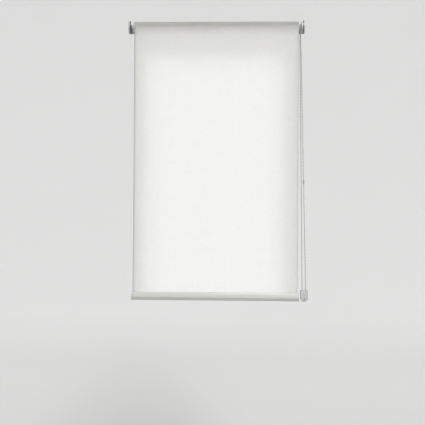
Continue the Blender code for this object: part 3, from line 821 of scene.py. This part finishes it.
# ---- Roller tube ----------------------------------------------------------------------
# An extruded aluminium tube with three key ribs inside. It keeps its made shape and takes
# a drawn-metal finish whose lines run along the tube.
def drawn_aluminium(name, colour, roughness):
    made, nodes, links = new_material(name)
    shader = nodes["Principled BSDF"]
    lines = grain(nodes, links, 700.0, 4.0, (0.02, 1.0, 1.0))
    dull = [c * 0.86 for c in colour]
    links.new(tint(nodes, links, lines, dull, colour), shader.inputs["Base Color"])
    links.new(
        span(nodes, links, lines, roughness + 0.08, roughness - 0.06), shader.inputs["Roughness"]
    )
    shader.inputs["Metallic"].default_value = 1.0
    relief(nodes, links, lines, shader, 0.00001, 0.5)
    return made


def refinish(node, finish):
    """A carried-over part keeps its shape and takes a proper material."""
    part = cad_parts[node]
    for slot in part.material_slots:
        slot.material = finish
    if not part.material_slots:
        part.data.materials.append(finish)


refinish("roller_tube", drawn_aluminium("tube_aluminium", (0.60, 0.60, 0.60), 0.55))


# ---- Rolled-up fabric -----------------------------------------------------------------
# The last turns of cloth on the tube, wound as a spiral that comes over the top and ends
# where the hanging cloth leaves the front. Its cut edges show at both ends.
FABRIC_HALF = 0.340
CLOTH_THICK = 0.00045
ROLL_TURNS = 1.9
roll_low, roll_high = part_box("fabric_roll")
roll_radius = (roll_high.z - roll_low.z) / 2


def cloth_material(name, glow):
    """Pale light-passing blind cloth: a fine plain weave, slub lines and a soft glow."""
    made, nodes, links = new_material(name)
    shader = nodes["Principled BSDF"]
    across = grain(nodes, links, 900.0, 2.0, (0.06, 1.0, 1.0))
    along = grain(nodes, links, 900.0, 2.0, (1.0, 0.5, 0.06))
    threads = nodes.new("ShaderNodeMath")
    threads.operation = "ADD"
    links.new(across, threads.inputs[0])
    links.new(along, threads.inputs[1])
    halved = nodes.new("ShaderNodeMath")
    halved.operation = "MULTIPLY"
    halved.inputs[1].default_value = 0.5
    links.new(threads.outputs["Value"], halved.inputs[0])
    shade = tint(
        nodes, links, halved.outputs["Value"], (0.885, 0.882, 0.870), (0.945, 0.942, 0.930)
    )
    links.new(shade, shader.inputs["Base Color"])
    links.new(span(nodes, links, halved.outputs["Value"], 0.92, 0.82), shader.inputs["Roughness"])
    shader.inputs["Specular IOR Level"].default_value = 0.25
    shader.inputs["Sheen Weight"].default_value = 0.08
    shader.inputs["Sheen Roughness"].default_value = 0.5
    where = nodes.new("ShaderNodeTexCoord")
    crossed = nodes.new("ShaderNodeMath")
    crossed.operation = "MULTIPLY"
    for number, direction in enumerate(("X", "Z")):
        yarn = nodes.new("ShaderNodeTexWave")
        yarn.bands_direction = direction
        yarn.inputs["Scale"].default_value = 320.0
        yarn.inputs["Distortion"].default_value = 1.5
        yarn.inputs["Detail"].default_value = 1.0
        links.new(where.outputs["Object"], yarn.inputs["Vector"])
        links.new(yarn.outputs["Fac"], crossed.inputs[number])
    fine = relief(nodes, links, crossed.outputs["Value"], shader, 0.00006, 0.5)
    slub = nodes.new("ShaderNodeBump")
    slub.inputs["Strength"].default_value = 0.35
    slub.inputs["Distance"].default_value = 0.0001
    links.new(halved.outputs["Value"], slub.inputs["Height"])
    links.new(slub.outputs["Normal"], fine.inputs["Normal"])
    through = nodes.new("ShaderNodeBsdfTranslucent")
    both = nodes.new("ShaderNodeMixShader")
    both.inputs["Fac"].default_value = glow
    links.new(shade, through.inputs["Color"])
    links.new(shader.outputs["BSDF"], both.inputs[1])
    links.new(through.outputs["BSDF"], both.inputs[2])
    links.new(both.outputs["Shader"], nodes["Material Output"].inputs["Surface"])
    return made


def spiral_line(count):
    """From the front tangent, up over the top and round, closing in layer by layer."""
    points = []
    for k in range(count + 1):
        turn = ROLL_TURNS * k / count
        angle = math.radians(180) - turn * 2 * math.pi
        radius = roll_radius - CLOTH_THICK / 2 - CLOTH_THICK * turn
        points.append((radius * math.cos(angle), radius * math.sin(angle)))
    return points


roll_curve = bpy.data.curves.new("cloth_roll", "CURVE")
roll_curve.dimensions = "3D"
roll_curve.extrude = FABRIC_HALF
roll_line = roll_curve.splines.new("POLY")
spiral = spiral_line(150)
roll_line.points.add(len(spiral) - 1)
for point, (x, y) in zip(roll_line.points, spiral):
    point.co = (x, y, 0.0, 1.0)
roll = bpy.data.objects.new("cloth_roll", roll_curve)
bpy.context.scene.collection.objects.link(roll)
pick(roll)
bpy.ops.object.convert(target="MESH")
tidy_mesh(roll)
use_modifier(roll, "SOLIDIFY", thickness=CLOTH_THICK * 0.96, offset=0.0, use_even_offset=True)
settle(roll, ON_AXIS)
shade(roll, 30)
# Painted shade: the roll's cloth lets more light through than the hanging cloth, so the roll
# renders darker than the same cloth would.
finish_piece(roll, cloth_material("roll_cloth", 0.75), "roller", "fabric_roll")


# ---- Hanging fabric -------------------------------------------------------------------
# One flat sheet of pale roller-blind cloth. It leaves the front of the roll and runs down
# into the slot of the bottom rail, with a welded hem line just above the rail.
drop_low, drop_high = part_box("fabric_drop")
fabric_y = (drop_low.y + drop_high.y) / 2
drop_length = drop_high.z - drop_low.z
RAIL_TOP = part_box("bottom_rail")[1].z
HEM_LINE = RAIL_TOP + 0.013
HEM_HALF = 0.0035
HEM_RISE = 0.00022
RIPPLE_DEPTH = 0.00045
RIPPLE_PITCH = 0.085
BROAD_DEPTH = 0.0006
CURL_DEPTH = 0.0012
CURL_START = 0.318
CURL_WIDTH = 0.022
LEAVES_ROLL = 0.010
ROLL_GAP = 0.00012
COLUMNS = 68
ROWS = 220

start_fresh()
bpy.ops.mesh.primitive_grid_add(x_subdivisions=COLUMNS, y_subdivisions=ROWS, size=1.0)
drop = bpy.context.object
drop.name = "hanging_cloth"
drop.data.transform(
    Matrix.Translation((0, fabric_y, -drop_length / 2))
    @ Matrix.Rotation(math.radians(90), 4, "X")
    @ Matrix.Diagonal((2 * FABRIC_HALF, drop_length, 1.0, 1.0))
)


def ease(value):
    """From 0 to 1 with a soft start and end."""
    value = min(1.0, max(0.0, value))
    return value * value * (3 - 2 * value)


for point in drop.data.vertices:
    x, z = point.co.x, point.co.z
    free = ease(-z / 0.10) * ease((z - HEM_LINE) / 0.12)
    low_right = ease((x + 0.10) / 0.35) * ease((-z - 0.55) / 0.45)
    ripple = RIPPLE_DEPTH * math.sin(z * 2 * math.pi / RIPPLE_PITCH + 2.2 * x) * low_right
    broad = BROAD_DEPTH * math.sin(5.2 * x + 1.1) * math.sin(4.1 * z + 0.4)
    curl = CURL_DEPTH * ease((abs(x) - CURL_START) / CURL_WIDTH) * ease((-z - 0.05) / 0.3)
    point.co.y += free * (ripple + broad + curl)
    if abs(z - HEM_LINE) < HEM_HALF:
        point.co.y += HEM_RISE * (1 - abs(z - HEM_LINE) / HEM_HALF)
use_modifier(drop, "SOLIDIFY", thickness=CLOTH_THICK, offset=0.0)
tangent_y = axis_y - roll_radius - ROLL_GAP
for point in drop.data.vertices:
    thin = 1 - ease(-point.co.z / LEAVES_ROLL)
    point.co.y += (tangent_y - point.co.y) * thin * 0.9
pick(drop)
bpy.ops.object.shade_smooth()
start_fresh()
finish_piece(drop, cloth_material("drop_cloth", 0.60), "root", "fabric_drop")
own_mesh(drop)


# ---- Bottom rail ----------------------------------------------------------------------
# An extruded aluminium rail in satin white paint, with a ridge along each side and a keel
# below it. The hem goes through the slot in its top, and the hollow holds a steel weight.
RAIL_HEIGHT = 0.033
RAIL_HALF = 0.3405
RAIL_TOP_HALF = 0.0028
RAIL_SHOULDER_HALF = 0.0062
RAIL_SHOULDER_DEPTH = 0.0095
RAIL_RIDGE_HALF = 0.0080
RAIL_RIDGE_DEPTH = 0.0205
RAIL_FOOT_HALF = 0.0016
RAIL_ROUNDING = 0.0012
SLOT_HALF = 0.0009
CHANNEL_DEPTH = 0.0059
CHANNEL_RADIUS = 0.0030
HOLLOW_SIDE = [(0.00495, -0.0106), (0.00655, -0.0203), (0.00084, -0.0314)]
HOLLOW_ROUNDING = 0.0008
IN_RAIL = Matrix.Translation((0, fabric_y, RAIL_TOP)) @ ALONG_ROLLER


def mirrored(side, radius, count):
    """A closed section from the points of one side, its corners rounded."""
    line = filleted(side + [(-x, y) for x, y in reversed(side)], radius, count)
    near = [(x, y) for x, y in line if x > 0]
    return near + [(-x, y) for x, y in reversed(near)]


def rail_section(mouth, proud=0.0):
    """Down one side of the rail from the slot's mouth, and up the other."""
    side = [
        (mouth, proud),
        (RAIL_TOP_HALF + proud, proud),
        (RAIL_SHOULDER_HALF + proud, -RAIL_SHOULDER_DEPTH),
        (RAIL_RIDGE_HALF + proud, -RAIL_RIDGE_DEPTH),
        (RAIL_FOOT_HALF + proud, -RAIL_HEIGHT - proud),
    ]
    return mirrored(side, RAIL_ROUNDING, 6)


def painted_metal(name, colour, roughness):
    """Satin paint on an extrusion: faint drawing lines and a fine orange peel."""
    made, nodes, links = new_material(name)
    shader = nodes["Principled BSDF"]
    lines = grain(nodes, links, 260.0, 4.0, (0.02, 1.0, 1.0))
    dull = [c * 0.95 for c in colour]
    links.new(tint(nodes, links, lines, dull, colour), shader.inputs["Base Color"])
    patch = grain(nodes, links, 24.0, 3.0)
    links.new(
        span(nodes, links, patch, roughness + 0.06, roughness - 0.05), shader.inputs["Roughness"]
    )
    peel = grain(nodes, links, 1500.0, 2.0)
    relief(nodes, links, peel, shader, 0.00002, 0.4)
    shader.inputs["Coat Weight"].default_value = 0.15
    shader.inputs["Coat Roughness"].default_value = 0.25
    return made


neck = math.degrees(math.asin(SLOT_HALF / CHANNEL_RADIUS))
channel = arc(CHANNEL_RADIUS, 90 + neck, 450 - neck, 28, (0.0, -CHANNEL_DEPTH))
sections = [rail_section(SLOT_HALF) + channel, mirrored(HOLLOW_SIDE, HOLLOW_ROUNDING, 3)]
rail = plate("rail_extrusion", sections, -RAIL_HALF, RAIL_HALF, IN_RAIL)
shade(rail, 25)
finish_piece(rail, painted_metal("rail_paint", (0.65, 0.652, 0.624), 0.40), "rail", "bottom_rail")

refinish("hem_spline", moulded_plastic("spline_plastic", (0.62, 0.62, 0.60), 0.5))
refinish("rail_weight", zinc_steel("weight_steel", (0.45, 0.45, 0.46), 0.5))


# ---- Rail end caps --------------------------------------------------------------------
# Moulded plugs that press into each end of the rail. Their faces follow the rail's
# section, stand a hair proud of it, and have soft outer edges.
CAP_THICK = 0.0045
CAP_PROUD = 0.0004
CAP_TOP_HALF = 0.0008
CAP_GAP = 0.0003
CAP_EDGE = 0.0011
CAP_SNAP = 0.00001
TONGUE_REACH = 0.010
TONGUE_HALF = 0.003
TONGUE_TOP = -0.0135
TONGUE_FOOT = -0.0265
cap_plastic = moulded_plastic("cap_plastic", (0.64, 0.64, 0.625), 0.42)


def rail_cap(side, name, node):
    """A face plate on the rail's section, and a tongue that fills its hollow."""
    face = rail_section(CAP_TOP_HALF, CAP_PROUD)
    near = RAIL_HALF + CAP_GAP
    far = near + CAP_THICK
    ends = sorted((side * near, side * far))
    made = plate(name, [face], *ends, IN_RAIL)
    select_edges(made, lambda co: abs(co.x) > far - CAP_SNAP)
    bpy.ops.mesh.bevel(offset=CAP_EDGE, segments=4, affect="EDGES")
    start_fresh()
    reach = sorted((side * (RAIL_HALF - TONGUE_REACH), side * (near + 0.001)))
    tongue = rectangle(-TONGUE_HALF, TONGUE_FOOT, TONGUE_HALF, TONGUE_TOP)
    combine(made, plate("tongue", [tongue], *reach, IN_RAIL, edge=0.0005), "UNION")
    shade(made)
    finish_piece(made, cap_plastic, "rail", node)


rail_cap(-1, "left_rail_cap", "rail_cap_left")
rail_cap(1, "right_rail_cap", "rail_cap_right")


# ---- Idle end -------------------------------------------------------------------------
# The left end of the roller: a ribbed plug in the tube, its flange and boss with gussets,
# and a steel pin that a spring pushes out through a moulded bush in the bracket.
TUBE_INNER = 0.0203
RIB_TIP = 0.0188
PLUG_INNER_END = -0.3105
PLUG_FACE = -0.3436
FLANGE_SEAT = -0.3413
BOSS_END = -0.3510
BOSS_RADIUS = 0.0115
FLANGE_RADIUS = 0.0213
PIN_BORE = 0.0033
SPRING_BORE = 0.0056
FIT = 0.0003
KEY_HALF = 0.0013
NECK_RADIUS = 0.0184
NECK_START = -0.3400
PLUG_SEAT = -0.3408
GUSSET_HALF = 0.0006
GUSSET_RISE = 0.0035
GUSSET_OUTER = 0.0188
white_plastic = moulded_plastic("end_fitting_plastic", (0.76, 0.76, 0.745), 0.36)


def keyed_circle(radius, key_radius, key_half, count):
    """A circle with straight-sided keys that reach in to key_radius."""
    points = []
    wide = math.degrees(math.asin(key_half / radius))
    narrow = math.degrees(math.asin(key_half / key_radius))
    sector = 360 / count
    for k in range(count):
        middle = k * sector
        points += arc(key_radius, middle - narrow, middle + narrow, 2)
        points += arc(radius, middle + wide, middle + sector - wide, 16)
    return points


grip = keyed_circle(TUBE_INNER - FIT, RIB_TIP - FIT, KEY_HALF, 3)
plug_outlines = [grip, circle(SPRING_BORE, 32)]
plug = plate("idle_end_plug", plug_outlines, PLUG_SEAT, PLUG_INNER_END, ON_AXIS, edge=0.0003)
boss_profile = [
    (PIN_BORE, NECK_START),
    (NECK_RADIUS, NECK_START),
    (NECK_RADIUS, FLANGE_SEAT),
    (FLANGE_RADIUS, FLANGE_SEAT),
    (FLANGE_RADIUS, PLUG_FACE),
    (BOSS_RADIUS, PLUG_FACE),
    (BOSS_RADIUS - FIT, BOSS_END),
    (PIN_BORE, BOSS_END),
]
boss = turned("boss", filleted(boss_profile, 0.0005), ON_AXIS, count=72)
for k in range(8):
    gusset = block(
        "gusset",
        (BOSS_RADIUS - 0.0015, -GUSSET_HALF, PLUG_FACE - GUSSET_RISE),
        (GUSSET_OUTER, GUSSET_HALF, PLUG_FACE + 0.0005),
        ON_AXIS @ Matrix.Rotation(math.radians(22.5 + 45 * k), 4, "Z"),
    )
    combine(boss, gusset, "UNION")
combine(plug, boss, "UNION")
shade(plug)
finish_piece(plug, white_plastic, "roller", "idle_plug")

SPRING_RADIUS = 0.0041
SPRING_WIRE = 0.0005
SPRING_START = -0.3368
SPRING_END = -0.3138
SPRING_TURNS = 7
STEPS_IN_TURN = 20
coil = []
for k in range(SPRING_TURNS * STEPS_IN_TURN + 1):
    share = k / (SPRING_TURNS * STEPS_IN_TURN)
    angle = 2 * math.pi * SPRING_TURNS * share
    x = SPRING_START + (SPRING_END - SPRING_START) * share
    coil.append((x, axis_y + SPRING_RADIUS * math.cos(angle), SPRING_RADIUS * math.sin(angle)))
spring = line_piece("pin_spring", coil, SPRING_WIRE, 2)
spring_steel = zinc_steel("spring_steel", (0.42, 0.43, 0.45), 0.35)
finish_piece(spring, spring_steel, "roller", "idle_spring")
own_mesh(spring)

pin_steel = zinc_steel("pin_steel", (0.60, 0.60, 0.62), 0.24)
refinish("idle_pin", pin_steel)
refinish("idle_spring_seat", pin_steel)
refinish("idle_bush", moulded_plastic("bush_plastic", (0.30, 0.30, 0.31), 0.35))


# ---- Drive end ------------------------------------------------------------------------
# The right end of the roller: a fixed housing keyed to the bracket, the chain wheel with a
# pocket for each bead, and inside the tube the crown, core and two wrap springs.
HOUSING_NEAR = 0.3515
HOUSING_FAR = 0.3577
HOUSING_RADIUS = 0.022
WHEEL_RIM = 0.0144
WHEEL_BORE = 0.0063
POCKET_RADIUS = 0.0026
LIP_LENGTH = 0.0012
LIP_DEPTH = 0.0014
LIP_TAPER = 0.0004
GROOVE_DEPTH = 0.0012
GROOVE_FOOT_HALF = 0.0010
GROOVE_MOUTH_HALF = 0.0022
BARREL_START = 0.3190
BARREL_OUTER = 0.0097
BARREL_INNER = 0.0083
BARREL_FROM = 122
BARREL_TO = 418

disc = [
    (0.0, HOUSING_FAR),
    (HOUSING_RADIUS, HOUSING_FAR),
    (HOUSING_RADIUS, HOUSING_NEAR + LIP_LENGTH),
    (HOUSING_RADIUS - LIP_DEPTH, HOUSING_NEAR + LIP_LENGTH),
    (HOUSING_RADIUS - LIP_DEPTH - LIP_TAPER, HOUSING_NEAR),
    (0.0, HOUSING_NEAR),
]
housing = turned("drive_end_housing", filleted(disc, 0.0010, 4), ON_AXIS, count=96)
key_ends = (HOUSING_NEAR - OVERCUT, HOUSING_FAR + OVERCUT)
combine(housing, plate("key_slot", [core_opening], *key_ends, ON_AXIS), "DIFFERENCE")
shade(housing)
finish_piece(housing, white_plastic, "root", "drive_housing")


def bead_wheel(name, pitch_radius, bore, rim, half_width, middle, count, place, first_angle):
    """A turned wheel with a narrow groove for the thread and a pocket for each bead."""
    floor = pitch_radius - GROOVE_DEPTH
    outline = [
        (bore, middle + half_width),
        (rim, middle + half_width),
        (rim, middle + GROOVE_MOUTH_HALF),
        (floor, middle + GROOVE_FOOT_HALF),
        (floor, middle - GROOVE_FOOT_HALF),
        (rim, middle - GROOVE_MOUTH_HALF),
        (rim, middle - half_width),
        (bore, middle - half_width),
    ]
    made = turned(name, filleted(outline, 0.0004), place, count=72)
    pockets = []
    for k in range(count):
        angle = first_angle + 2 * math.pi * k / count
        start_fresh()
        bpy.ops.mesh.primitive_uv_sphere_add(segments=20, ring_count=10, radius=POCKET_RADIUS)
        pocket = bpy.context.object
        spot = (pitch_radius * math.cos(angle), pitch_radius * math.sin(angle), middle)
        pocket.data.transform(place @ Matrix.Translation(spot))
        pockets.append(pocket)
    combine(made, joined(pockets), "DIFFERENCE")
    return shade(made, 30)


def first_bead_angle(start_distance, pitch_radius, start_angle, sign):
    """The angle of the first bead on a wheel, where the strand meets it at start_angle."""
    past = (first_bead - start_distance) % spacing
    return start_angle + sign * past / pitch_radius


pulley_start = (room_foot - room_top).length
wheel_start = chain_length - math.pi * WHEEL_PITCH
wheel = bead_wheel(
    "chain_drive_wheel",
    WHEEL_PITCH,
    WHEEL_BORE,
    WHEEL_RIM,
    WHEEL_HALF,
    wheel_middle.x,
    WHEEL_BEADS,
    ON_AXIS,
    first_bead_angle(wheel_start, WHEEL_PITCH, 0.0, 1),
)
c_section = arc(BARREL_OUTER, BARREL_FROM, BARREL_TO, 28)
c_section += arc(BARREL_INNER, BARREL_TO, BARREL_FROM, 28)
barrel_end = wheel_middle.x - WHEEL_HALF + 0.001
combine(wheel, plate("barrel", [c_section], BARREL_START, barrel_end, ON_AXIS), "UNION")
shade(wheel, 30)
wheel_plastic = moulded_plastic("wheel_plastic", (0.68, 0.68, 0.675), 0.36)
finish_piece(wheel, wheel_plastic, "chain_drive", "chain_wheel")

grey_plastic = moulded_plastic("core_plastic", (0.34, 0.34, 0.35), 0.40)
refinish("drive_core", grey_plastic)
refinish("drive_crown", white_plastic)
refinish("drive_retainer", pin_steel)
refinish("wrap_spring_1", spring_steel)
refinish("wrap_spring_2", spring_steel)


# ---- Tensioner ------------------------------------------------------------------------
# A small wall-fixed housing in frosted grey plastic that holds the chain's pulley, so that
# the loop can't hang free. One screw goes through its face, its axle and into the wall.
TENSIONER_RADIUS = 0.0153
TENSIONER_TOP = 0.0327
TENSIONER_DEPTH = 0.0160
TENSIONER_WALL = 0.0016
BACK_THICK = 0.0022
SCREW_HOLE = 0.0024
AXLE_RADIUS = 0.0036
FRONT_EDGE = 0.0032
SHELL_GAP = 0.0003
POCKET_TOP = 0.005
SHADED_SIDE_FACING = 0.95
PULLEY_BORE = 0.0039
PULLEY_RIM = 0.0104
PULLEY_HALF = 0.0044
FACE_SCREW_HEAD = 0.0039
FACE_SCREW_SHANK = 0.0020
AT_TENSIONER = Matrix.Translation((pulley_middle.x, 0, pulley_middle.z)) @ OUT_OF_WALL
POCKET_FLOOR = TENSIONER_DEPTH - TENSIONER_WALL
frosted = moulded_plastic("frosted_plastic", (0.77, 0.77, 0.77), 0.42, glow=0.30)


def u_outline(radius, top):
    """Round below and square above."""
    return arc(radius, 180, 360, 40) + [(radius, top), (-radius, top)]


back = plate(
    "tensioner_backplate",
    [u_outline(TENSIONER_RADIUS, TENSIONER_TOP), circle(SCREW_HOLE)],
    0.0,
    BACK_THICK,
    AT_TENSIONER,
    edge=0.0003,
)
axle_profile = [
    (SCREW_HOLE, POCKET_FLOOR - SHELL_GAP),
    (AXLE_RADIUS, POCKET_FLOOR - SHELL_GAP),
    (AXLE_RADIUS, BACK_THICK / 2),
    (SCREW_HOLE, BACK_THICK / 2),
]
combine(back, turned("axle", filleted(axle_profile, 0.0003), AT_TENSIONER), "UNION")
shade(back)
finish_piece(back, frosted, "root", "tensioner_back")

shell_foot = BACK_THICK + SHELL_GAP
front = plate(
    "tensioner_cover",
    [u_outline(TENSIONER_RADIUS, TENSIONER_TOP)],
    shell_foot - OVERCUT,
    TENSIONER_DEPTH,
    AT_TENSIONER,
    edge=FRONT_EDGE,
    segments=7,
)
inside = u_outline(TENSIONER_RADIUS - TENSIONER_WALL, TENSIONER_TOP + POCKET_TOP)
pocket = plate("pocket", [inside], -1.5 * OVERCUT, POCKET_FLOOR, AT_TENSIONER)
combine(front, pocket, "DIFFERENCE")
trim = block("trim", (-0.03, -0.03, -0.02), (0.03, 0.05, shell_foot), AT_TENSIONER)
combine(front, trim, "DIFFERENCE")
bore_ends = (POCKET_FLOOR - OVERCUT, TENSIONER_DEPTH + OVERCUT)
combine(front, plate("hole", [circle(SCREW_HOLE)], *bore_ends, AT_TENSIONER), "DIFFERENCE")
shade(front)
finish_piece(front, frosted, "root", "tensioner_front")
# Painted shade: the cover's side faces get a darker copy of the frosted plastic, standing in for
# the shade round the cover's rim.
frosted_shaded_sides = moulded_plastic("frosted_edge_plastic", (0.56, 0.56, 0.56), 0.42, glow=0.15)
front.data.materials.append(frosted_shaded_sides)
for face in front.data.polygons:
    if abs(face.normal.y) < SHADED_SIDE_FACING:
        face.material_index = 1

pulley = bead_wheel(
    "tensioner_bead_pulley",
    PULLEY_PITCH,
    PULLEY_BORE,
    PULLEY_RIM,
    PULLEY_HALF,
    -pulley_middle.y,
    PULLEY_BEADS,
    AT_TENSIONER,
    first_bead_angle(pulley_start, PULLEY_PITCH, 0.0, -1),
)
pulley_plastic = moulded_plastic("pulley_plastic", (0.58, 0.58, 0.57), 0.34)
finish_piece(pulley, pulley_plastic, "pulley", "tensioner_pulley")
pan_screw(
    "tensioner_face_screw",
    "tensioner_screw",
    pulley_middle.x,
    pulley_middle.z,
    TENSIONER_DEPTH + SHANK_FOOT,
    FACE_SCREW_HEAD,
    FACE_SCREW_SHANK,
)
